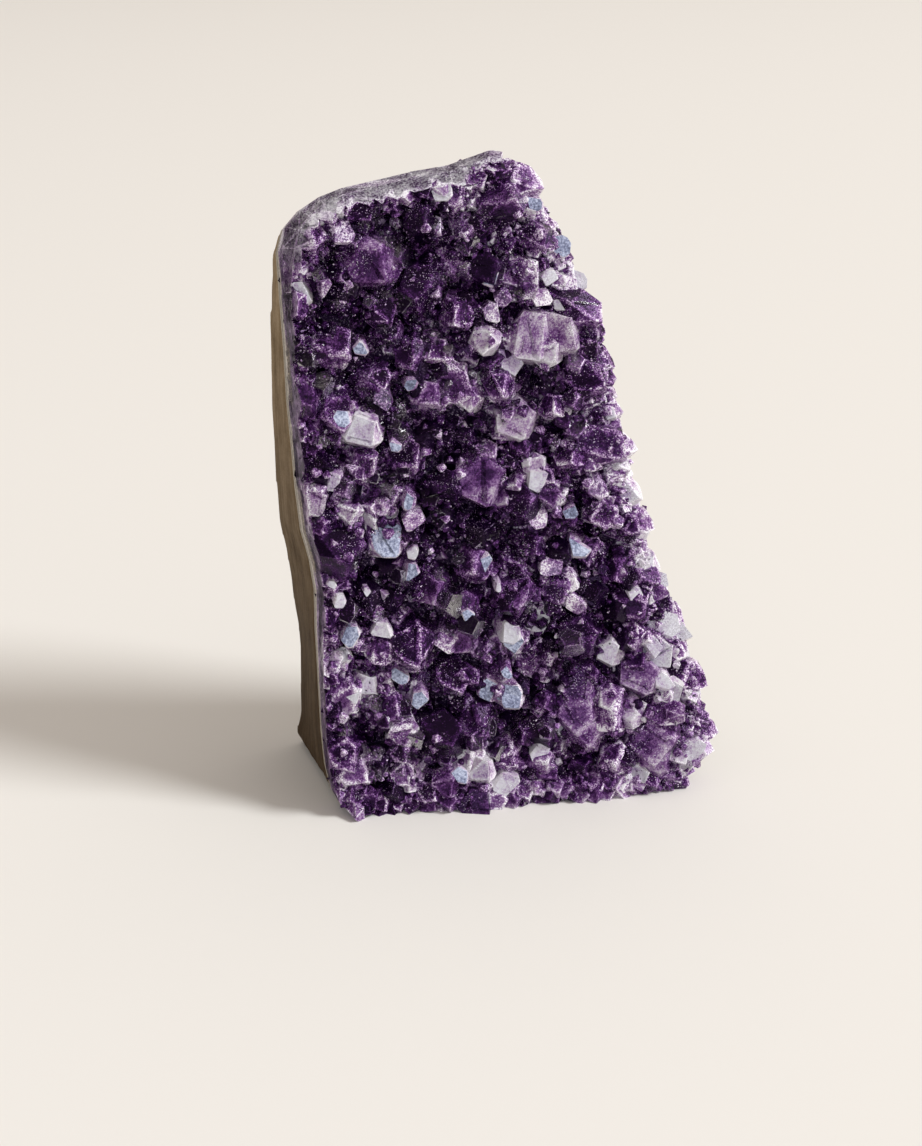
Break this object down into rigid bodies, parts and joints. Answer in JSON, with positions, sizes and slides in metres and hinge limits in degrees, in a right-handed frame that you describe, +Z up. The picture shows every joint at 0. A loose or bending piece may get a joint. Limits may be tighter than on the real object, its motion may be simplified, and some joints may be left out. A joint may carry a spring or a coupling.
{
  "type": "amethyst cluster",
  "caption": "Standing piece of geode wall: a dense crust of purple quartz crystals over a thin pale lining and grey-brown rock, sawn flat underneath and ground smooth along one side and the top.",
  "frame": {"origin": "middle of the whole piece's box, on the surface that it stands on", "axes": "+Z up, along the tall side; the crystals face -Y; the ground side is at -X"},
  "size_m": [0.0728, 0.0412, 0.1046],
  "materials": {
    "basalt": "matte",
    "chalcedony": "satin",
    "amethyst": "gloss"
  },
  "bodies": {
    "root": {"basalt_rind": "basalt", "chalcedony_lining": "chalcedony", "amethyst_crust": "amethyst"}
  },
  "joints": []
}
